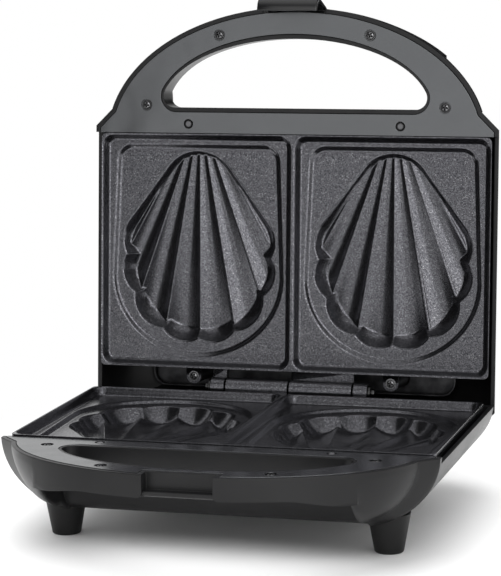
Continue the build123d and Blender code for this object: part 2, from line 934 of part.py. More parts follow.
def thermal_fuse():
    """Small fuse lying across the back of the lid's plate, with a pin at each end."""
    depth = plate_back + touch_gap + fuse_radius
    half = fuse_length / 2
    pin_half = half + fuse_pin_length
    body = crosswise(fuse_radius, -half, half, thermostat_reach, depth)
    return body + crosswise(fuse_pin_radius, -pin_half, pin_half, thermostat_reach, depth)


# Lamps of the lid


def lamp_lens(side):
    """Clear cap in the lid's outer face, hollow behind for its lamp."""
    radius = lamp_radius + running_gap + lens_wall
    outside = shell_depth + lens_proud
    inside = outside - lens_length
    cap = upright(side * lamp_side, lamp_reach, radius, inside, outside)
    cap = chamfer(cap.edges().group_by(Axis.Z)[0], lens_proud / 2)
    hollow = lamp_radius + running_gap
    return cap - upright(side * lamp_side, lamp_reach, hollow, inside - over, outside - lens_face)


def lamp(side):
    front = shell_depth + lens_proud - lens_face - running_gap
    return upright(side * lamp_side, lamp_reach, lamp_radius, front - lamp_length, front)


# Assembly


def base_pieces():
    clamp_back = clamp_seat + clamp_height
    clamp_posts = [upright(x, reach, boss_radius, clamp_back, shell_depth) for x, reach in clamp_spots]
    tub = half_shell(base_rear, notch_ledge, clamp_posts) + latch_ledge()
    for x, reach in both_sides(foot_spots.values()):
        tub -= foot_peg(x, reach, running_gap, 0)
    sleeve = inlet_bore + inlet_wall + running_gap
    tub -= along_y(sleeve, far, -base_rear, inlet_side, inlet_depth)
    for x, reach in clamp_spots:
        tub -= screw_hole(x, reach, clamp_back, screw_length - clamp_height)
    pieces = {
        "base_shell": tub,
        "base_handle_cover": handle_cover() - latch_notch(shell_wall + cover_gap, shell_depth),
        "base_cover_screws": screw_set(cover_spots, cover_seat, screw_length),
        "base_plate": plate(),
        "base_plate_screws": screw_set(ear_spots, ear_depth, screw_length),
        "base_heater": heater(),
        "base_heat_shield": heat_shield(base_shield_back),
        "base_shield_screws": screw_set(shield_spots, shield_depth, shield_screw_length),
        "thermostat": thermostat(),
        "terminal_block": terminal_block(),
        "cord_clamp": cord_clamp(),
        "cord_clamp_screws": screw_set(clamp_spots, clamp_seat, screw_length),
        "cord_gland": inlet_gland(),
        "hinge_pin": hinge_pin(),
        "hinge_pin_clips": pin_clips(),
    }
    for name, (x, reach) in foot_spots.items():
        pieces[f"foot_{name}_left"] = foot(-x, reach)
        pieces[f"foot_{name}_right"] = foot(x, reach)
    return pieces


def lid_pieces():
    dome = half_shell(lid_rear, shell_depth) - latch_pin(running_gap)
    wide = notch_half + shell_wall + running_gap
    seat = block(-wide, wide, notch_floor - shell_wall, far, -over, cover_back_depth)
    dome -= seat & prism(bow_plan(shell_wall), -over, cover_back_depth)
    lens_radius = lamp_radius + lens_wall + 2 * running_gap
    lens_inside = shell_depth + lens_proud - lens_length - over
    shield = heat_shield(lid_shield_back)
    for side in (-1, 1):
        dome -= upright(side * lamp_side, lamp_reach, lens_radius, lens_inside, shell_depth + over)
        shield -= upright(side * lamp_side, lamp_reach, lens_radius + lens_shield_gap, 0, shell_depth)
    return {
        "lid_shell": dome,
        "lid_handle_cover": handle_cover(),
        "lid_cover_screws": screw_set(cover_spots, cover_seat, screw_length),
        "lid_plate": plate(),
        "lid_plate_screws": screw_set(ear_spots, ear_depth, screw_length),
        "lid_heater": heater(),
        "lid_heat_shield": shield,
        "lid_shield_screws": screw_set(shield_spots, shield_depth, shield_screw_length),
        "thermal_fuse": thermal_fuse(),
        "power_lens": lamp_lens(-1),
        "ready_lens": lamp_lens(1),
        "power_lamp": lamp(-1),
        "ready_lamp": lamp(1),
        "latch_pin": latch_pin(),
    }


def assemble():
    """Every piece where it stands with the lid open and the latch swung out."""
    pieces = base_pieces()
    open_lid = Rot(-lid_open_angle, 0, 0) * Rot(0, 180, 0)
    for name, piece in lid_pieces().items():
        pieces[name] = open_lid * piece
    pivot = spot(0, latch_axis_reach, latch_axis_depth)
    swing = pivot * Rot(latch_rest_angle, 0, 0) * pivot.inverse()
    pieces["latch_clip"] = open_lid * swing * latch_clip()
    return pieces


model = assemble()
extent = group(model.values()).bounding_box()
stand = Pos(0, -(extent.min.Y + extent.max.Y) / 2, -extent.min.Z)
os.makedirs("parts", exist_ok=True)
for node, piece in model.items():
    export_step(stand * piece, f"parts/{node}.step")
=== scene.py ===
import json
from math import cos, hypot, pi, radians, sin, sqrt, tan

import bmesh
import bpy
import numpy as np
from mathutils import Matrix, Vector


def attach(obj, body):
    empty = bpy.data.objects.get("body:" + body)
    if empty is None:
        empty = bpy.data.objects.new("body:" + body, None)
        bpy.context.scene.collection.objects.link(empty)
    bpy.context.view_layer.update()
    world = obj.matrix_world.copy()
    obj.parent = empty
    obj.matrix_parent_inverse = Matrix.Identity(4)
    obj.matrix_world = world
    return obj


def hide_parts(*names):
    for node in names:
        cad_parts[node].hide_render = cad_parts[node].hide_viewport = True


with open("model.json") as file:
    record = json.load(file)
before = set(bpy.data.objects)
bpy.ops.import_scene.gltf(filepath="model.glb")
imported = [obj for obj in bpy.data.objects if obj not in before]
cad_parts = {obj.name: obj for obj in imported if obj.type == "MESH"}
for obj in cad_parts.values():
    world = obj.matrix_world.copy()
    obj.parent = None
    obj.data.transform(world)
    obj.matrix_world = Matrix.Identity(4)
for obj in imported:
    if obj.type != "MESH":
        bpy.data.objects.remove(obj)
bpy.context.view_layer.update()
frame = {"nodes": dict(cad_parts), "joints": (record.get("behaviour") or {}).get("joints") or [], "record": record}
nodes = frame["nodes"]

# The frame is in metres; sizes that are written in millimetres are times this
MM = 0.001

# Joint facts from the frame: the lid's plate faces the viewer while it stands open
joints = {joint["name"]: joint for joint in frame["joints"]}
lid_travel = radians(max(joints["lid_hinge"]["range_deg"], key=abs))

# Each half's own frame: X across, Y towards the hinge, Z out of its inner face, origin on the hinge
BASE_PLACE = Matrix.Translation(joints["lid_hinge"]["pos_m"])
LID_PLACE = BASE_PLACE @ Matrix.Rotation(-lid_travel, 4, "X") @ Matrix.Rotation(pi, 4, "Y")


# Node helpers, for shader trees and geometry trees alike


def add_node(tree, kind, **values):
    """A node with its properties set by name; its sockets' plain values go in the inputs dict."""
    node = tree.nodes.new(kind)
    for socket, value in values.pop("inputs", {}).items():
        node.inputs[socket].default_value = value
    for name, value in values.items():
        setattr(node, name, value)
    return node


def join(tree, value, socket):
    """Links an output to a socket, or sets the socket to a plain value."""
    if isinstance(value, (int, float, tuple)):
        socket.default_value = value
    else:
        tree.links.new(value, socket)


def math_node(tree, operation, first, second=0.0):
    node = add_node(tree, "ShaderNodeMath", operation=operation)
    join(tree, first, node.inputs[0])
    join(tree, second, node.inputs[1])
    return node.outputs[0]


def times(tree, first, second):
    return math_node(tree, "MULTIPLY", first, second)


def absolute(tree, value):
    return math_node(tree, "ABSOLUTE", value)


def spread(tree, value, low, high, new_low=0.0, new_high=1.0):
    """Maps low..high to new_low..new_high and keeps to these limits."""
    limits = {"From Min": low, "From Max": high, "To Min": new_low, "To Max": new_high}
    node = add_node(tree, "ShaderNodeMapRange", inputs=limits)
    join(tree, value, node.inputs["Value"])
    return node.outputs["Result"]


def mix_colour(tree, share, first, second):
    node = add_node(tree, "ShaderNodeMix", data_type="RGBA")
    for name, value in (("Factor", share), ("A", first), ("B", second)):
        join(tree, value, node.inputs[name])
    return node.outputs["Result"]


def vector_of(tree, x, y, z):
    node = add_node(tree, "ShaderNodeCombineXYZ")
    for value, socket in zip((x, y, z), node.inputs):
        join(tree, value, socket)
    return node.outputs[0]


def split(tree, vector):
    """The X, Y and Z outputs of a vector."""
    node = add_node(tree, "ShaderNodeSeparateXYZ")
    join(tree, vector, node.inputs[0])
    return node.outputs


def length_of(tree, vector):
    node = add_node(tree, "ShaderNodeVectorMath", operation="LENGTH")
    join(tree, vector, node.inputs[0])
    return node.outputs["Value"]


def object_place(tree):
    return add_node(tree, "ShaderNodeTexCoord").outputs["Object"]


def object_noise(tree, size, detail, roughness=0.5):
    """Noise on Object coordinates whose features are about the given size in metres."""
    noise = add_node(tree, "ShaderNodeTexNoise", inputs={"Detail": detail, "Roughness": roughness})
    join(tree, object_place(tree), noise.inputs["Vector"])
    join(tree, math_node(tree, "DIVIDE", 1.0, size), noise.inputs["Scale"])
    return noise.outputs["Fac"]


def effect_group(name, inputs, outputs):
    """An empty shader group with named number inputs and outputs."""
    tree = bpy.data.node_groups.new(name, "ShaderNodeTree")
    for label, value in inputs.items():
        socket = tree.interface.new_socket(label, in_out="INPUT", socket_type="NodeSocketFloat")
        socket.default_value = value
    for label in outputs:
        tree.interface.new_socket(label, in_out="OUTPUT", socket_type="NodeSocketFloat")
    return tree, add_node(tree, "NodeGroupInput").outputs, add_node(tree, "NodeGroupOutput").inputs


def place_group(tree, group, **values):
    """A group's outputs, with its inputs set by name."""
    node = add_node(tree, "ShaderNodeGroup", node_tree=group)
    for label, value in values.items():
        node.inputs[label.replace("_", " ")].default_value = value
    return node.outputs


# Effects that several materials share


def moulded_grain_group():
    """Fine spark-eroded grain of a mould, and slow patches where it prints lighter."""
    tree, given, made = effect_group(
        "moulded_grain", {"Grain Size": 0.5 * MM, "Patch Size": 30 * MM}, ("Height", "Patches")
    )
    join(tree, object_noise(tree, given["Grain Size"], detail=2.0, roughness=0.6), made["Height"])
    slow = object_noise(tree, given["Patch Size"], detail=3.0)
    join(tree, spread(tree, slow, low=0.35, high=0.65), made["Patches"])
    return tree


def speckle_group():
    """Pale flakes scattered in a dark coat, with a fine orange peel under them."""
    tree, given, made = effect_group(
        "coat_speckle",
        {"Flake Size": 0.8 * MM, "Flake Share": 0.35, "Peel Size": 0.65 * MM},
        ("Flakes", "Grain", "Height"),
    )
    cells = add_node(tree, "ShaderNodeTexVoronoi")
    join(tree, object_place(tree), cells.inputs["Vector"])
    join(tree, math_node(tree, "DIVIDE", 1.0, given["Flake Size"]), cells.inputs["Scale"])
    chance = add_node(tree, "ShaderNodeSeparateColor")
    join(tree, cells.outputs["Color"], chance.inputs["Color"])
    chosen = math_node(tree, "LESS_THAN", chance.outputs["Red"], given["Flake Share"])
    core = spread(tree, cells.outputs["Distance"], low=0.2, high=0.5, new_low=1.0, new_high=0.0)
    bright = times(tree, core, chance.outputs["Green"])
    join(tree, times(tree, chosen, bright), made["Flakes"])
    peel = object_noise(tree, given["Peel Size"], detail=2.0)
    join(tree, peel, made["Height"])
    join(tree, spread(tree, peel, low=0.36, high=0.64), made["Grain"])
    return tree


def dust_group():
    """Sparse specks of dust and lint, and the faint smears of a wiping cloth."""
    tree, given, made = effect_group(
        "dust_and_smears", {"Speck Size": 1.6 * MM, "Smear Size": 45 * MM}, ("Specks", "Smears")
    )
    specks = object_noise(tree, given["Speck Size"], detail=4.0, roughness=0.7)
    join(tree, spread(tree, specks, low=0.70, high=0.78), made["Specks"])
    smears = object_noise(tree, given["Smear Size"], detail=5.0, roughness=0.65)
    join(tree, spread(tree, smears, low=0.45, high=0.75), made["Smears"])
    return tree


GRAIN = moulded_grain_group()
SPECKLE = speckle_group()
DUST = dust_group()


# Materials

# Samples and power of the ambient occlusion that paints shade in crevices, and samples of the rounded edges
occlusion_samples = 6
occlusion_power = 2.0
bevel_samples = 6

# The base's bow runs into the shell beside each front foot within these limits of the row frame
arm_end_side = (74 * MM, 84 * MM)
arm_end_front = (-66 * MM, -60 * MM)
arm_end_top = (47 * MM, 51 * MM)
arm_end_blend = 5 * MM

# Tops of the pegs that locate the handle covers, in each half's own frame
peg_side = 61.1
peg_reach = 148.5
peg_depth = 1.0
peg_top_edge = (1.2 * MM, 1.8 * MM)
# Lighter tone painted on the peg tops
PEG_TONE = (0.10, 0.10, 0.105, 1)

HOUSE_DUST = (0.35, 0.34, 0.33, 1)
house_dust_share = 0.12

COAT_TONES = ((0.038, 0.038, 0.043, 1), (0.120, 0.120, 0.130, 1))
FLAKE_TONE = (0.24, 0.24, 0.25, 1)
COAT_DUST = (0.4, 0.4, 0.4, 1)
coat_dust_share = 0.04
# Near-black tone of the painted shade in the coat's grooves and at the feet of its steep walls
COAT_PAINTED_SHADE = (0.012, 0.012, 0.012, 1)
coat_edge = 0.4 * MM
coat_peel_height = 0.005 * MM

# Near-black tone of the painted shade in the metal's recesses, such as a screw's cross and the groove round its
# head
METAL_PAINTED_SHADE = (0.004, 0.004, 0.004, 1)
metal_mark_size = 0.8 * MM
metal_mark_height = 0.004 * MM
metal_patch_size = 8 * MM
metal_smear_size = 12 * MM
metal_edge = 0.3 * MM


def new_material(name, **constants):
    """A material with one Principled shader whose plain values are set on its own sockets."""
    material = bpy.data.materials.new(name)
    material.use_nodes = True
    tree = material.node_tree
    shader = tree.nodes["Principled BSDF"]
    for label, value in constants.items():
        shader.inputs[label.replace("_", " ")].default_value = value
    return material, tree, shader.inputs


def arm_end_share(tree):
    """1 where the base's bow runs into the shell beside the front feet, 0 elsewhere."""
    x, y, z = split(tree, object_place(tree))
    aside = spread(tree, absolute(tree, x), *arm_end_side)
    ahead = spread(tree, y, *arm_end_front, new_low=1.0, new_high=0.0)
    below = spread(tree, z, *arm_end_top, new_low=1.0, new_high=0.0)
    return times(tree, aside, times(tree, ahead, below))


def peg_top_share(tree):
    """1 on the tops of the four pegs that locate the handle covers, 0 elsewhere."""
    x, y, z = split(tree, object_place(tree))
    folded = vector_of(tree, absolute(tree, x), y, z)
    shares = []
    for half in (BASE_PLACE, LID_PLACE):
        top = half @ (Vector((peg_side, -peg_reach, -peg_depth)) * MM)
        away = add_node(tree, "ShaderNodeVectorMath", operation="DISTANCE")
        join(tree, folded, away.inputs[0])
        join(tree, (abs(top.x), top.y, top.z), away.inputs[1])
        shares.append(spread(tree, away.outputs["Value"], *peg_top_edge, new_low=1.0, new_high=0.0))
    return math_node(tree, "MAXIMUM", *shares)


def paint_crevice_shade(tree, tone, shade_tone, reach, low, high):
    """A tone with painted shade: by ambient occlusion it falls to the dark shade tone in grooves and recesses
    about as narrow as the reach.
    """
    occlusion = add_node(
        tree, "ShaderNodeAmbientOcclusion", samples=occlusion_samples, inputs={"Distance": reach}
    )
    openness = math_node(tree, "POWER", occlusion.outputs["AO"], occlusion_power)
    return mix_colour(tree, spread(tree, openness, low, high), shade_tone, tone)


def lay_dust(tree, tone, dust, share, dust_tone):
    return mix_colour(tree, times(tree, dust["Specks"], share), tone, dust_tone)


def smear_gloss(tree, shader, dust, smooth, rough):
    """Roughness that rises where a cloth has smeared the surface."""
    join(tree, spread(tree, dust["Smears"], 0, 1, smooth, rough), shader["Roughness"])


def soften_edges(tree, shader, radius, height, depth):
    """Rounds the look of sharp edges by a radius, and lays a fine relief over the surface."""
    edge = add_node(tree, "ShaderNodeBevel", samples=bevel_samples)
    join(tree, radius, edge.inputs["Radius"])
    relief = add_node(tree, "ShaderNodeBump", inputs={"Strength": 1.0, "Distance": depth})
    join(tree, height, relief.inputs["Height"])
    join(tree, edge.outputs["Normal"], relief.inputs["Normal"])
    join(tree, relief.outputs["Normal"], shader["Normal"])


def moulded_plastic(
    name, dark, light, smooth, rough, grain_size, grain_height,
    edge=0.4 * MM, shell=False, **constants,
):
    """Injection-moulded plastic: two close tones, a printed grain, and a trace of dust.

    A shell also has its arm ends blended and the tops of its pegs painted lighter.
    """
    material, tree, shader = new_material(name, **constants)
    grain = place_group(tree, GRAIN, Grain_Size=grain_size)
    dust = place_group(tree, DUST)
    tone = mix_colour(tree, grain["Patches"], dark, light)
    tone = lay_dust(tree, tone, dust, house_dust_share, HOUSE_DUST)
    if shell:
        tone = mix_colour(tree, peg_top_share(tree), tone, PEG_TONE)
        edge = spread(tree, arm_end_share(tree), 0, 1, edge, arm_end_blend)
    join(tree, tone, shader["Base Color"])
    smear_gloss(tree, shader, dust, smooth, rough)
    soften_edges(tree, shader, edge, grain["Height"], grain_height)
    return material


def housing_plastic():
    return moulded_plastic(
        "black_housing_plastic", dark=(0.006, 0.006, 0.0065, 1), light=(0.009, 0.009, 0.0095, 1),
        smooth=0.34, rough=0.42, grain_size=0.5 * MM, grain_height=0.004 * MM, edge=0.7 * MM,
        shell=True, Specular_IOR_Level=0.25,
    )


def cover_plastic():
    return moulded_plastic(
        "satin_cover_plastic", dark=(0.007, 0.007, 0.008, 1), light=(0.010, 0.010, 0.011, 1),
        smooth=0.20, rough=0.26, grain_size=45 * MM, grain_height=0.9 * MM,
        Specular_IOR_Level=0.95, IOR=1.63, Specular_Tint=(0.94, 0.97, 1.0, 1),
    )


def latch_plastic():
    return moulded_plastic(
        "latch_plastic", dark=(0.005, 0.005, 0.0055, 1), light=(0.008, 0.008, 0.0085, 1),
        smooth=0.16, rough=0.24, grain_size=0.5 * MM, grain_height=0.003 * MM, edge=1.0 * MM,
    )


def foot_plastic():
    return moulded_plastic(
        "matt_foot_plastic", dark=(0.005, 0.005, 0.005, 1), light=(0.008, 0.008, 0.008, 1),
        smooth=0.45, rough=0.6, grain_size=0.4 * MM, grain_height=0.012 * MM, edge=0.8 * MM,
        Specular_IOR_Level=0.25,
    )


def insulator_plastic():
    return moulded_plastic(
        "cream_insulator", dark=(0.62, 0.58, 0.48, 1), light=(0.70, 0.66, 0.56, 1),
        smooth=0.4, rough=0.5, grain_size=0.5 * MM, grain_height=0.008 * MM,
    )


def plate_coating():
    """Dark non-stick coat with pale flakes over cast aluminium, with painted shade in its grooves."""
    material, tree, shader = new_material("non_stick_coating", Metallic=0.95)
    speckle = place_group(tree, SPECKLE)
    dust = place_group(tree, DUST)
    coat = mix_colour(tree, speckle["Grain"], *COAT_TONES)
    coat = mix_colour(tree, speckle["Flakes"], coat, FLAKE_TONE)
    coat = lay_dust(tree, coat, dust, coat_dust_share, COAT_DUST)
    # Painted shade: the coat falls to near black in grooves and at the feet of steep walls
    coat = paint_crevice_shade(tree, coat, COAT_PAINTED_SHADE, reach=1.6 * MM, low=0.05, high=0.45)
    join(tree, coat, shader["Base Color"])
    smear_gloss(tree, shader, dust, smooth=0.20, rough=0.26)
    soften_edges(tree, shader, coat_edge, speckle["Height"], coat_peel_height)
    return material


def worked_metal(name, dark, light, smooth, rough):
    """Bare or plated metal with cloudy tone, fine marks and painted shade in its recesses."""
    material, tree, shader = new_material(name, Metallic=1.0)
    marks = place_group(tree, GRAIN, Grain_Size=metal_mark_size, Patch_Size=metal_patch_size)
    dust = place_group(tree, DUST, Smear_Size=metal_smear_size)
    tone = mix_colour(tree, marks["Patches"], dark, light)
    # Painted shade: the metal falls to near black in its recesses
    tone = paint_crevice_shade(tree, tone, METAL_PAINTED_SHADE, reach=2 * MM, low=0.25, high=0.8)
    join(tree, tone, shader["Base Color"])
    smear_gloss(tree, shader, dust, smooth, rough)
    soften_edges(tree, shader, metal_edge, marks["Height"], metal_mark_height)
    return material


def clear_plastic(name, tint, smeared_tint):
    material, tree, shader = new_material(name, Transmission_Weight=0.85, IOR=1.49)
    dust = place_group(tree, DUST)
    join(tree, mix_colour(tree, dust["Smears"], tint, smeared_tint), shader["Base Color"])
    smear_gloss(tree, shader, dust, smooth=0.05, rough=0.12)
    return material


def lamp_glass():
    material, tree, shader = new_material("lamp_glass", Transmission_Weight=1.0, IOR=1.5)
    clear, hazy = (0.95, 0.93, 0.9, 1), (0.85, 0.8, 0.75, 1)
    dust = place_group(tree, DUST)
    join(tree, mix_colour(tree, dust["Smears"], clear, hazy), shader["Base Color"])
    return material


MATERIALS = {
    "housing": housing_plastic(),
    "handle_cover": cover_plastic(),
    "feet": foot_plastic(),
    "latch": latch_plastic(),
    "plate": plate_coating(),
    "screws": worked_metal(
        "black_oxide_steel", dark=(0.15, 0.15, 0.155, 1), light=(0.22, 0.22, 0.225, 1),
        smooth=0.26, rough=0.36,
    ),
    "heater": worked_metal(
        "heat_tinted_steel", dark=(0.20, 0.17, 0.15, 1), light=(0.42, 0.38, 0.33, 1),
        smooth=0.35, rough=0.5,
    ),
    "sheet": worked_metal(
        "heat_dulled_sheet", dark=(0.03, 0.03, 0.032, 1), light=(0.07, 0.07, 0.073, 1),
        smooth=0.35, rough=0.5,
    ),
    "fittings": worked_metal(
        "plated_steel", dark=(0.45, 0.45, 0.43, 1), light=(0.66, 0.66, 0.64, 1),
        smooth=0.2, rough=0.35,
    ),
    "pin": worked_metal(
        "dark_steel", dark=(0.05, 0.05, 0.05, 1), light=(0.09, 0.09, 0.09, 1),
        smooth=0.25, rough=0.36,
    ),
    "insulator": insulator_plastic(),
    "gland": foot_plastic(),
    "red_lens": clear_plastic(
        "clear_red_plastic", tint=(0.75, 0.02, 0.02, 1), smeared_tint=(0.60, 0.016, 0.016, 1),
    ),
    "green_lens": clear_plastic(
        "clear_green_plastic", tint=(0.03, 0.55, 0.12, 1), smeared_tint=(0.024, 0.44, 0.096, 1),
    ),
    "lamp": lamp_glass(),
}


def dress_cad_nodes():
    """Every CAD node takes the material of its slot in the record."""
    for part in frame["record"]["subparts"]:
        mesh = nodes[part["node"]].data
        mesh.materials.clear()
        mesh.materials.append(MATERIALS[part["material_slot"]])


dress_cad_nodes()


# Objects and meshes that every piece needs

# Gap in millimetres under which a CAD mesh's loose corners are one
merge_gap = 0.001


def new_object(name, data):
    obj = bpy.data.objects.new(name, data)
    bpy.context.collection.objects.link(obj)
    return obj


def piece(name, mesh, body, slot, *replaced):
    """An object of the assembled model, from a mesh that is already in the row frame."""
    obj = new_object(name, mesh)
    if not mesh.materials:
        mesh.materials.append(MATERIALS[slot])
    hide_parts(*replaced)
    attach(obj, body)


def merged_copy(node):
    """A CAD node's loose triangles as a bmesh whose corners are merged."""
    body = bmesh.new()
    body.from_mesh(nodes[node].data)
    bmesh.ops.remove_doubles(body, verts=body.verts, dist=merge_gap * MM)
    return body


def shaded_mesh(name, body, sharp_angle):
    """The mesh of a bmesh, smooth up to an angle in degrees; the bmesh goes."""
    mesh = bpy.data.meshes.new(name)
    body.to_mesh(mesh)
    body.free()
    shade(mesh, sharp_angle)
    return mesh


def shade(mesh, sharp_angle):
    mesh.shade_smooth()
    mesh.set_sharp_from_angle(angle=radians(sharp_angle))


def finished_mesh(carrier):
    """The plain mesh of an object with its modifier applied; the object goes."""
    evaluated = carrier.evaluated_get(bpy.context.evaluated_depsgraph_get())
    mesh = bpy.data.meshes.new_from_object(evaluated)
    bpy.data.objects.remove(carrier)
    return mesh


# Cooking plates, with the casting's working face laid again as a fine soft surface

# Lengths in millimetres, angles in degrees, the plate's own as in the CAD; "reach" is a distance
# in front of the hinge axis, and "depth" one below the parting plane
plate_width = 225.0
plate_front = 143.0
plate_rear = 10.2
plate_corner = 3.0
rim_depth = 0.2
rim_width = 0.9
divider_width = 2.6
cavity_depth = 4.8
cavity_corner = 6.5
cavity_draft = 28.0
step_depth = 2.0
step_draft = 45.0
step_top_margin = 7.7
step_side_margin = 4.8
step_front_margin = 6.2
step_round_centre = 62.0
step_back_margin = 6.0
step_corner = 9.0
pocket_draft = 42.0
tip_centre = 111.0
tip_radius = 22.0
scallop_cusps = [(0.0, 26.7), (20.9, 31.5), (37.9, 52.0), (42.9, 73.0)]
scallop_bulges = [4.3, 5.8, 4.2]
side_lobe = (26.7, 82.0, 17.9)
flute_count = 8
flute_spread = 9.6
fan_apex = 155.0
fan_apex_depth = 1.2
fan_rise = 0.067
flute_slope = 0.1296

# What the soft surface adds to the CAD's form
pocket_hollow = 1.0
pocket_hollow_width = 8.5
ridge_bead = 0.2
ridge_bead_width = 0.45
ridge_bead_fade = 2.0
face_pitch = 0.6
face_softness = 0.26
softening_rings = ((8, 0.5), (12, 1.0))

# What counts as the CAD's working face when it is taken off
face_lean = 0.05
face_margin = 0.05
casting_sharp_angle = 32.0

# Kept from dividing by zero
tiny = 1e-9

cavity_middle = (plate_width / 2 - rim_width + divider_width / 2) / 2
cavity_half = (plate_width / 2 - rim_width - divider_width / 2) / 2


def rounded_box_inside(across, along, half_across, half_along, corner):
    """How far points lie inside a rounded rectangle round the origin."""
    aside = np.abs(across) - half_across + corner
    ahead = np.abs(along) - half_along + corner
    round_part = np.hypot(np.maximum(aside, 0), np.maximum(ahead, 0))
    return corner - round_part - np.minimum(np.maximum(aside, ahead), 0)


def step_inside(across, reach):
    """How far points lie inside the second step: straight in front, round behind its centre."""
    front = plate_front - step_front_margin
    top = cavity_half - step_top_margin
    wide = cavity_half - step_side_margin
    lean = (wide - top) / (front - step_round_centre)
    side = wide - lean * (reach - step_round_centre) - np.abs(across)
    corner_side = np.maximum(step_corner - side, 0)
    corner_front = np.maximum(step_corner - front + reach, 0)
    square = step_corner - np.hypot(corner_side, corner_front)
    length = step_round_centre - plate_rear - step_back_margin
    along = reach - step_round_centre
    share = np.hypot(across / wide, along / length) + tiny
    round_end = (1 - share) * share / (np.hypot(across / wide**2, along / length**2) + tiny)
    return np.where(reach > step_round_centre, square, round_end)


def teardrop_inside(across, reach, lobe):
    """How far points lie inside the hull of the tip circle and a lobe."""
    lobe_across, lobe_along, lobe_radius = lobe[0], tip_centre - lobe[1], lobe[2]
    length = hypot(lobe_across, lobe_along)
    along = (across * lobe_across + (tip_centre - reach) * lobe_along) / length
    aside = np.abs(across * lobe_along - (tip_centre - reach) * lobe_across) / length
    narrowing = (tip_radius - lobe_radius) / length
    flank = sqrt(1 - narrowing * narrowing)
    place = flank * along - narrowing * aside
    beyond = flank * aside + narrowing * along - tip_radius
    beyond = np.where(place < 0, np.hypot(aside, along) - tip_radius, beyond)
    beyond = np.where(place > flank * length, np.hypot(aside, along - length) - lobe_radius, beyond)
    return -beyond


def circle_through(first, last, bulge):
    """Centre and radius of the arc that bulges out between two points, as x and reach."""
    across = last[0] - first[0]
    along = last[1] - first[1]
    chord = hypot(across, along)
    radius = (chord * chord / 4 + bulge * bulge) / (2 * bulge)
    away = (radius - bulge) / chord
    middle = ((first[0] + last[0]) / 2, (first[1] + last[1]) / 2)
    return middle[0] - along * away, middle[1] + across * away, radius


def flute_depth(across, reach, turn):
    """Depth of a cone's underside, which starts at the fan's apex and heads off by the turn."""
    heading = Vector((sin(turn), cos(turn), fan_rise)).normalized()
    widen = 1 + flute_slope * flute_slope
    forward = across * heading.x + (fan_apex - reach) * heading.y
    away = across * across + (fan_apex - reach) ** 2
    linear = widen * forward * heading.z
    square = 1 - widen * heading.z * heading.z
    inner = linear * linear - square * (away - widen * forward * forward)
    depth = fan_apex_depth - (linear - np.sqrt(np.maximum(inner, 0))) / square
    return np.where(inner > 0, depth, 0)


def hollow_wall(inside):
    """Depth of the pocket's wall at a distance inside its rim: drafted, and hollowed a little."""
    share = np.clip(inside / pocket_hollow_width, 0, 1)
    return inside / tan(radians(pocket_draft)) + pocket_hollow * np.sin(pi * share)


def pocket_depth_at(across, reach):
    """Depth of the fluted pocket below the second step, with a fine bead along each ridge."""
    scallops = zip(scallop_cusps, scallop_cusps[1:], scallop_bulges)
    lobes = [circle_through(*scallop) for scallop in scallops] + [side_lobe]
    inside = np.full_like(across, -np.inf)
    for x, lobe_reach, radius in lobes:
        for side in (-1, 1):
            lobe = (side * x, lobe_reach, radius)
            inside = np.maximum(inside, teardrop_inside(across, reach, lobe))
    walls = hollow_wall(inside)
    deepest = np.zeros_like(across)
    second = np.zeros_like(across)
    for flute in range(flute_count):
        turn = radians((flute - (flute_count - 1) / 2) * flute_spread)
        depth = flute_depth(across, reach, turn)
        second = np.maximum(second, np.minimum(deepest, depth))
        deepest = np.maximum(deepest, depth)
    bead = ridge_bead * np.exp(-(((deepest - second) / ridge_bead_width) ** 2))
    bead *= np.clip(second / ridge_bead_fade, 0, 1)
    bead *= np.clip((walls - deepest) / ridge_bead_fade, 0, 1)
    return np.maximum(np.minimum(walls, deepest - bead), 0)


def face_depth(x, reach):
    """Depth of the plate's working face at points given as x and reach."""
    across = np.abs(x) - cavity_middle
    along = reach - (plate_front + plate_rear) / 2
    half_along = (plate_front - plate_rear) / 2 - rim_width
    cavity = rounded_box_inside(across, along, cavity_half, half_along, cavity_corner)
    depth = rim_depth + np.clip(cavity / tan(radians(cavity_draft)), 0, cavity_depth)
    step = step_inside(across, reach) / tan(radians(step_draft))
    depth += np.where(cavity > 0, np.clip(step, 0, step_depth), 0)
    return depth + np.where(step > step_depth, pocket_depth_at(across, reach), 0)


def softened_depth(x, reach):
    """The face's depth averaged over a small round spot, as paint and casting soften edges."""
    total = face_depth(x, reach)
    count = 1
    for spots, share in softening_rings:
        for spot_number in range(spots):
            turn = 2 * pi * (spot_number + share) / spots
            away = face_softness * share
            total = total + face_depth(x + away * cos(turn), reach + away * sin(turn))
            count += 1
    return total / count


def face_grid():
    """Rows of points over the plate's outline, with its corners drawn in to their arcs."""
    columns = round(plate_width / face_pitch) + 1
    rows = round((plate_front - plate_rear) / face_pitch) + 1
    x, reach = np.meshgrid(
        np.linspace(-plate_width / 2, plate_width / 2, columns),
        np.linspace(plate_rear, plate_front, rows),
    )
    middle = (plate_front + plate_rear) / 2
    start_x = plate_width / 2 - plate_corner
    start_reach = (plate_front - plate_rear) / 2 - plate_corner
    aside = np.maximum(np.abs(x) - start_x, 0)
    ahead = np.maximum(np.abs(reach - middle) - start_reach, 0)
    draw_in = np.maximum(aside, ahead) / np.maximum(np.hypot(aside, ahead), tiny)
    drawn_x = np.sign(x) * (start_x + aside * draw_in)
    drawn_reach = middle + np.sign(reach - middle) * (start_reach + ahead * draw_in)
    corner = (aside > 0) & (ahead > 0)
    return np.where(corner, drawn_x, x), np.where(corner, drawn_reach, reach)


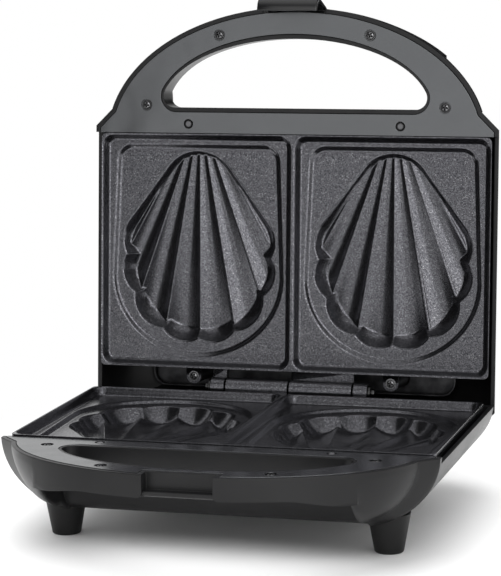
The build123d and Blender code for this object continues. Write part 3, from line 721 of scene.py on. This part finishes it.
def working_face_mesh(name, place):
    """The soft working face as a mesh in the row frame; its edge lies on the casting's rim."""
    x, reach = face_grid()
    depth = softened_depth(x, reach)
    for edge in (np.s_[0, :], np.s_[-1, :], np.s_[:, 0], np.s_[:, -1]):
        depth[edge] = rim_depth
    points = np.stack([x, -reach, -depth, np.full_like(x, 1 / MM)], axis=-1).reshape(-1, 4) * MM
    points = points @ np.array(place).T
    rows, columns = x.shape
    first = (np.arange(rows - 1)[:, None] * columns + np.arange(columns - 1)).reshape(-1)
    faces = np.stack([first, first + columns, first + columns + 1, first + 1], axis=-1)
    mesh = bpy.data.meshes.new(name)
    mesh.from_pydata(points[:, :3].tolist(), [], faces.tolist(), shade_flat=False)
    return mesh


def casting_without_face(node, place):
    """The CAD plate as a mesh without its working face."""
    body = merged_copy(node)
    inward = place.inverted()
    turned = inward.to_3x3()
    working_face = []
    for face in body.faces:
        centre = inward @ face.calc_center_median() / MM
        facing = (turned @ face.normal).z > face_lean
        if facing and -centre.y > plate_rear + face_margin and abs(centre.x) < plate_width / 2:
            working_face.append(face)
    bmesh.ops.delete(body, geom=working_face, context="FACES")
    return shaded_mesh(node + "_casting", body, casting_sharp_angle)


def soft_plate(node, body_name, place):
    """A cooking plate: its casting with the soft working face laid in."""
    whole = bmesh.new()
    whole.from_mesh(casting_without_face(node, place))
    whole.from_mesh(working_face_mesh(node + "_face", place))
    mesh = bpy.data.meshes.new(node + "_soft")
    whole.to_mesh(mesh)
    whole.free()
    piece(node + "_soft", mesh, body_name, "plate", node)


soft_plate("base_plate", "base", BASE_PLACE)
soft_plate("lid_plate", "lid", LID_PLACE)


# Latch clip, as in the CAD but with rounded edges

# Radius in millimetres, angles in degrees
clip_edge_radius = 0.9
clip_edge_steps = 4
clip_flat_angle = 1.0
clip_edge_angle = 35.0
clip_sharp_angle = 40.0


def rounded_clip():
    body = merged_copy("latch_clip")
    bmesh.ops.dissolve_limit(
        body, angle_limit=radians(clip_flat_angle), verts=body.verts, edges=body.edges
    )
    carrier = new_object("clip_carrier", bpy.data.meshes.new("clip_carrier"))
    body.to_mesh(carrier.data)
    body.free()
    bevel = carrier.modifiers.new("round_edges", "BEVEL")
    bevel.width = clip_edge_radius * MM
    bevel.segments = clip_edge_steps
    bevel.limit_method = "ANGLE"
    bevel.angle_limit = radians(clip_edge_angle)
    rounded = finished_mesh(carrier)
    shade(rounded, clip_sharp_angle)
    piece("latch_clip_rounded", rounded, "latch", "latch", "latch_clip")


rounded_clip()


# Screws, a pan head with a cross recess grown on each seat by one tree

# Lengths in millimetres; a head stands on its seat, and its flange is as wide as the CAD's head
screw_head_height = 1.3
screw_head_gap = 0.85
SCREW_SIZES = {
    "Head Height": screw_head_height,
    "Head Drop": 0.55,
    "Flange Height": 0.25,
    "Recess Reach": 1.55,
    "Recess Width": 0.5,
    "Recess Depth": 1.2,
    "Recess Edge": 0.12,
    "Shank Radius": 1.5,
    "Thread Pitch": 1.1,
    "Thread Depth": 0.3,
}
head_points = 45
head_dome_power = 4
flange_sides = 40
shank_sides = 18
shank_rings_per_thread = 6
screw_turn_seed = 3
screw_sharp_angle = 40.0


def geometry_tree(name, sizes):
    """A geometry tree with points in, a mesh out, and named numbers for its sizes."""
    tree = bpy.data.node_groups.new(name, "GeometryNodeTree")
    tree.interface.new_socket("Geometry", in_out="INPUT", socket_type="NodeSocketGeometry")
    for label in sizes:
        tree.interface.new_socket(label, in_out="INPUT", socket_type="NodeSocketFloat")
    tree.interface.new_socket("Material", in_out="INPUT", socket_type="NodeSocketMaterial")
    tree.interface.new_socket("Geometry", in_out="OUTPUT", socket_type="NodeSocketGeometry")
    return tree, add_node(tree, "NodeGroupInput").outputs, add_node(tree, "NodeGroupOutput").inputs


def move_points(tree, mesh, position, selection=True):
    move = add_node(tree, "GeometryNodeSetPosition")
    join(tree, mesh, move.inputs["Geometry"])
    join(tree, position, move.inputs["Position"])
    join(tree, selection, move.inputs["Selection"])
    return move.outputs["Geometry"]


def place_parts(tree):
    """The X, Y and Z of each point where it is now."""
    return split(tree, add_node(tree, "GeometryNodeInputPosition").outputs[0])


def arm_share(tree, given, along, across):
    """One arm pair of the cross: 1 inside it, falling to 0 over the recess's edge."""
    def inside(limit, value):
        room = math_node(tree, "SUBTRACT", given[limit], absolute(tree, value))
        share = math_node(tree, "DIVIDE", room, given["Recess Edge"])
        return math_node(tree, "MINIMUM", math_node(tree, "MAXIMUM", share, 0), 1)

    return times(tree, inside("Recess Reach", along), inside("Recess Width", across))


def square_to_disc(tree, mesh):
    """Draws the rings of a square grid in to circles."""
    x, y, _ = place_parts(tree)
    square_size = math_node(tree, "MAXIMUM", absolute(tree, x), absolute(tree, y))
    round_size = math_node(tree, "MAXIMUM", length_of(tree, vector_of(tree, x, y, 0)), tiny)
    share = math_node(tree, "DIVIDE", square_size, round_size)
    drawn_in = vector_of(tree, times(tree, x, share), times(tree, y, share), 0)
    return move_points(tree, mesh, drawn_in)


def close_below(tree, mesh):
    """Pulls a sheet's open edge down to its seat, and from there in to the middle."""
    rim = add_node(tree, "FunctionNodeCompare", data_type="INT", operation="EQUAL")
    join(tree, add_node(tree, "GeometryNodeInputMeshEdgeNeighbors").outputs[0], rim.inputs["A"])
    join(tree, 1, rim.inputs["B"])
    edge = rim.outputs["Result"]
    for width in (1, 0):
        pull = add_node(tree, "GeometryNodeExtrudeMesh", mode="EDGES", inputs={"Offset Scale": 0})
        join(tree, mesh, pull.inputs["Mesh"])
        join(tree, edge, pull.inputs["Selection"])
        x, y, _ = place_parts(tree)
        seat = vector_of(tree, times(tree, x, width), times(tree, y, width), 0)
        edge = pull.outputs["Top"]
        mesh = move_points(tree, pull.outputs["Mesh"], seat, edge)
    closed = add_node(tree, "GeometryNodeMergeByDistance", inputs={"Distance": merge_gap})
    join(tree, mesh, closed.inputs["Geometry"])
    return closed.outputs["Geometry"]


def screw_head(tree, given):
    """A disc, domed, with the cross sunk in it, and closed below."""
    grid = add_node(
        tree, "GeometryNodeMeshGrid", inputs={"Vertices X": head_points, "Vertices Y": head_points}
    )
    for side in ("Size X", "Size Y"):
        join(tree, times(tree, given["Head Radius"], 2), grid.inputs[side])
    disc = square_to_disc(tree, grid.outputs["Mesh"])
    x, y, _ = place_parts(tree)
    away = length_of(tree, vector_of(tree, x, y, 0))
    outward = math_node(tree, "DIVIDE", away, given["Head Radius"])
    drop = times(tree, math_node(tree, "POWER", outward, head_dome_power), given["Head Drop"])
    cross = math_node(tree, "MAXIMUM", arm_share(tree, given, x, y), arm_share(tree, given, y, x))
    sunk = times(tree, cross, given["Recess Depth"])
    domed = math_node(tree, "SUBTRACT", given["Head Height"], drop)
    height = math_node(tree, "SUBTRACT", domed, sunk)
    return close_below(tree, move_points(tree, disc, vector_of(tree, x, y, height)))


def screw_flange(tree, given):
    """The thin washer formed on the head's foot."""
    disc = add_node(tree, "GeometryNodeMeshCylinder", inputs={"Vertices": flange_sides})
    join(tree, given["Flange Radius"], disc.inputs["Radius"])
    join(tree, given["Flange Height"], disc.inputs["Depth"])
    x, y, z = place_parts(tree)
    raised = math_node(tree, "ADD", z, times(tree, given["Flange Height"], 0.5))
    return move_points(tree, disc.outputs["Mesh"], vector_of(tree, x, y, raised))


def screw_shank(tree, given):
    """A cylinder whose radius rises and falls along a helix."""
    tube = add_node(tree, "GeometryNodeMeshCylinder", inputs={"Vertices": shank_sides})
    join(tree, given["Shank Radius"], tube.inputs["Radius"])
    join(tree, given["Shank Length"], tube.inputs["Depth"])
    threads = math_node(tree, "DIVIDE", given["Shank Length"], given["Thread Pitch"])
    join(tree, times(tree, threads, shank_rings_per_thread), tube.inputs["Side Segments"])
    x, y, z = place_parts(tree)
    lift = math_node(tree, "DIVIDE", times(tree, z, 2 * pi), given["Thread Pitch"])
    phase = math_node(tree, "SUBTRACT", lift, math_node(tree, "ARCTAN2", y, x))
    wave = times(tree, math_node(tree, "ADD", math_node(tree, "COSINE", phase), 1), 0.5)
    cut = math_node(tree, "DIVIDE", times(tree, wave, given["Thread Depth"]), given["Shank Radius"])
    keep = math_node(tree, "SUBTRACT", 1, cut)
    lowered = math_node(tree, "SUBTRACT", z, times(tree, given["Shank Length"], 0.5))
    place = vector_of(tree, times(tree, x, keep), times(tree, y, keep), lowered)
    return move_points(tree, tube.outputs["Mesh"], place)


def cross_head_screw_tree():
    tree, given, made = geometry_tree(
        "cross_head_screw", [*SCREW_SIZES, "Head Radius", "Flange Radius", "Shank Length"]
    )
    screw = add_node(tree, "GeometryNodeJoinGeometry")
    for part in (screw_head, screw_flange, screw_shank):
        join(tree, part(tree, given), screw.inputs[0])
    turn = add_node(
        tree, "FunctionNodeRandomValue", data_type="FLOAT", inputs={"Seed": screw_turn_seed}
    )
    join(tree, pi / 2, turn.inputs["Max"])
    points = add_node(tree, "GeometryNodeMeshToPoints")
    join(tree, given["Geometry"], points.inputs["Mesh"])
    copies = add_node(tree, "GeometryNodeInstanceOnPoints")
    join(tree, points.outputs["Points"], copies.inputs["Points"])
    join(tree, screw.outputs[0], copies.inputs["Instance"])
    join(tree, vector_of(tree, 0, 0, turn.outputs["Value"]), copies.inputs["Rotation"])
    real = add_node(tree, "GeometryNodeRealizeInstances")
    join(tree, copies.outputs["Instances"], real.inputs["Geometry"])
    finish = add_node(tree, "GeometryNodeSetMaterial")
    join(tree, real.outputs["Geometry"], finish.inputs["Geometry"])
    join(tree, given["Material"], finish.inputs["Material"])
    join(tree, finish.outputs["Geometry"], made["Geometry"])
    return tree


def grow(name, tree, points, values):
    """The plain mesh that a tree makes on a list of points, with its inputs set by name."""
    seats = bpy.data.meshes.new(name)
    seats.from_pydata(points, [], [])
    carrier = new_object(name, seats)
    modifier = carrier.modifiers.new("grow", "NODES")
    modifier.node_group = tree
    for item in tree.interface.items_tree:
        if item.in_out == "INPUT" and item.name in values:
            modifier[item.identifier] = values[item.name]
    return finished_mesh(carrier)


def islands(body):
    """Sets of joined vertices of a bmesh."""
    left = set(body.verts)
    while left:
        island, waiting = set(), [left.pop()]
        while waiting:
            vertex = waiting.pop()
            island.add(vertex)
            for link in vertex.link_edges:
                other = link.other_vert(vertex)
                if other in left:
                    left.remove(other)
                    waiting.append(other)
        yield island


def screw_seats(node, place):
    """Where a node's screws seat in their half's own frame, with their heads' radius and length."""
    body = merged_copy(node)
    body.transform(Matrix.Scale(1 / MM, 4) @ place.inverted())
    seats = []
    for island in islands(body):
        low = [min(vertex.co[axis] for vertex in island) for axis in range(3)]
        high = [max(vertex.co[axis] for vertex in island) for axis in range(3)]
        head_radius = (high[0] - low[0]) / 2
        length = high[2] - low[2] - screw_head_height
        seats.append(((low[0] + high[0]) / 2, (low[1] + high[1]) / 2, high[2] - screw_head_height))
    body.free()
    return sorted(seats), head_radius, length


def screws(name, body_name, place, *screw_nodes):
    """All screws of one body as one piece, each on the seat of the CAD's plain screw."""
    whole = bmesh.new()
    for node in screw_nodes:
        seats, head_radius, length = screw_seats(node, place)
        values = {
            **SCREW_SIZES,
            "Head Radius": head_radius - screw_head_gap,
            "Flange Radius": head_radius,
            "Shank Length": length,
            "Material": MATERIALS["screws"],
        }
        whole.from_mesh(grow(node + "_seats", CROSS_HEAD_SCREW, seats, values))
    bmesh.ops.recalc_face_normals(whole, faces=whole.faces)
    whole.transform(place @ Matrix.Scale(MM, 4))
    piece(name, shaded_mesh(name, whole, screw_sharp_angle), body_name, "screws", *screw_nodes)


CROSS_HEAD_SCREW = cross_head_screw_tree()
screws(
    "base_screws", "base", BASE_PLACE,
    "base_cover_screws", "base_plate_screws", "base_shield_screws", "cord_clamp_screws",
)
screws("lid_screws", "lid", LID_PLACE, "lid_cover_screws", "lid_plate_screws", "lid_shield_screws")


# Studio

# In metres
floor_size = 16
FLOOR_TONES = ((0.94, 0.94, 0.94, 1), (0.95, 0.95, 0.95, 1))
shadow_fade = (0.13, 0.31)
FLAG_TONES = ((0.004, 0.004, 0.004, 1), (0.008, 0.008, 0.008, 1))

SOFTBOXES = {
    "overhead_softbox": {
        "place": (-0.2, 0.12, 1.45), "target": (0, 0, 0), "size": (1.6, 1.6), "radiance": 2.5,
        "glossy": False,
    },
    "high_front_softbox": {
        "place": (0.7, -1.4, 1.5), "target": (0, 0, 0.1), "size": (1.0, 1.0), "radiance": 1.2,
    },
    "front_card": {
        "place": (-0.45, -1.95, 0.85), "target": (0, 0, 0.15), "size": (1.25, 1.7), "radiance": 1.2,
        "diffuse": False,
    },
    "right_card": {
        "place": (1.09, -1.68, 0.8), "target": (0, 0, 0.15), "size": (2.35, 1.7), "radiance": 2.7,
        "diffuse": False,
    },
}

# Upright cards, from a low corner to a high one
DARK_FLAGS = {
    "left_flag": ((-0.42, 0.1, 0.0), (-0.42, -0.72, 0.9)),
    "rear_flag": ((0.085, 0.6, 0.0), (1.0, 0.6, 1.0)),
    "high_rear_flag": ((-0.1, 0.62, 0.25), (0.1, 0.62, 1.0)),
}

# The camera fitted to the photograph: place in millimetres, angles in degrees, lens in millimetres
camera_place = (357.73, -1252.965, 327.20)
camera_yaw = 15.89
camera_pitch = 8.84
camera_roll = -0.745
camera_lens = 156.54
camera_sensor = 36
camera_range = (0.05, 30)


def seen_directly(tree, rays):
    """1 for rays from the camera and through clear parts, 0 for all others."""
    return math_node(tree, "MAXIMUM", rays["Is Camera Ray"], rays["Is Transmission Ray"])


def studio_floor():
    """A pale floor that keeps the object's shadow and turns to plain white further out."""
    bpy.ops.mesh.primitive_plane_add(size=floor_size)
    floor = bpy.context.object
    floor.name = "studio_floor"
    material, tree, shader = new_material("pale_floor", Roughness=0.7, Specular_IOR_Level=0.1)
    grain = place_group(tree, GRAIN, Grain_Size=2 * MM, Patch_Size=400 * MM)
    join(tree, mix_colour(tree, grain["Patches"], *FLOOR_TONES), shader["Base Color"])
    white = add_node(tree, "ShaderNodeEmission")
    far = spread(tree, length_of(tree, object_place(tree)), *shadow_fade)
    rays = add_node(tree, "ShaderNodeLightPath").outputs
    both = add_node(tree, "ShaderNodeMixShader")
    join(tree, times(tree, far, seen_directly(tree, rays)), both.inputs["Fac"])
    join(tree, tree.nodes["Principled BSDF"].outputs["BSDF"], both.inputs[1])
    join(tree, white.outputs["Emission"], both.inputs[2])
    join(tree, both.outputs["Shader"], tree.nodes["Material Output"].inputs["Surface"])
    floor.data.materials.append(material)


def studio_world():
    """White to the camera and through clear parts; to reflections, a white back and a dim front."""
    world = bpy.data.worlds.new("studio_world")
    bpy.context.scene.world = world
    world.use_nodes = True
    tree = world.node_tree
    background = tree.nodes["Background"].inputs
    background["Color"].default_value = (1, 1, 1, 1)
    rays = add_node(tree, "ShaderNodeLightPath").outputs
    _, y, z = split(tree, add_node(tree, "ShaderNodeTexCoord").outputs["Generated"])
    behind = spread(tree, y, low=-0.2, high=0.3, new_low=0.05, new_high=1.0)
    above = spread(tree, z, low=0.55, high=0.92, new_low=0.0, new_high=1.1)
    mirrored = times(tree, rays["Is Glossy Ray"], math_node(tree, "MAXIMUM", behind, above))
    ambient = math_node(tree, "SUBTRACT", 1.0, rays["Is Glossy Ray"])
    unseen = math_node(tree, "ADD", mirrored, ambient)
    strength = math_node(tree, "MAXIMUM", seen_directly(tree, rays), unseen)
    join(tree, strength, background["Strength"])


def soft_light(name, place, target, size, radiance, glossy=True, diffuse=True):
    """A softbox of a given radiance; one that only reflections see is a reflector card."""
    data = bpy.data.lights.new(name, "AREA")
    data.shape = "RECTANGLE"
    data.size, data.size_y = size
    data.energy = pi * size[0] * size[1] * radiance
    lamp = new_object(name, data)
    lamp.location = place
    lamp.rotation_euler = (Vector(target) - Vector(place)).to_track_quat("-Z", "Y").to_euler()
    lamp.visible_camera = False
    lamp.visible_glossy = glossy
    lamp.visible_diffuse = diffuse


def dark_flag(name, low, high):
    """A black card that only reflections see, as a photographer shapes highlights."""
    corners = [low, (high[0], high[1], low[2]), high, (low[0], low[1], high[2])]
    mesh = bpy.data.meshes.new(name)
    mesh.from_pydata(corners, [], [(0, 1, 2, 3)])
    flag = new_object(name, mesh)
    material, tree, shader = new_material("flag_cloth", Roughness=1.0, Specular_IOR_Level=0.0)
    weave = place_group(tree, GRAIN, Grain_Size=3 * MM, Patch_Size=200 * MM)
    join(tree, mix_colour(tree, weave["Patches"], *FLAG_TONES), shader["Base Color"])
    mesh.materials.append(material)
    flag.visible_camera = False
    flag.visible_diffuse = False
    flag.visible_shadow = False
    flag.visible_transmission = False


def photo_camera():
    """The photograph's view: where it stood, which way it looked and its long lens."""
    yaw, pitch, roll = radians(camera_yaw), radians(camera_pitch), radians(camera_roll)
    right = Vector((cos(yaw), sin(yaw), 0))
    back = Vector((sin(yaw) * cos(pitch), -cos(yaw) * cos(pitch), sin(pitch)))
    up = back.cross(right)
    rolled_right = right * cos(roll) + up * sin(roll)
    rolled_up = up * cos(roll) - right * sin(roll)
    data = bpy.data.cameras.new("photo_camera")
    data.lens = camera_lens
    data.sensor_width = camera_sensor
    data.clip_start, data.clip_end = camera_range
    camera = new_object("photo_camera", data)
    turned = Matrix((rolled_right, rolled_up, back)).transposed().to_4x4()
    camera.matrix_world = Matrix.Translation(Vector(camera_place) * MM) @ turned
    bpy.context.scene.camera = camera


studio_floor()
studio_world()
for name, values in SOFTBOXES.items():
    soft_light(name, **values)
for name, corners in DARK_FLAGS.items():
    dark_flag(name, *corners)
photo_camera()
bpy.context.scene.view_settings.view_transform = "Standard"
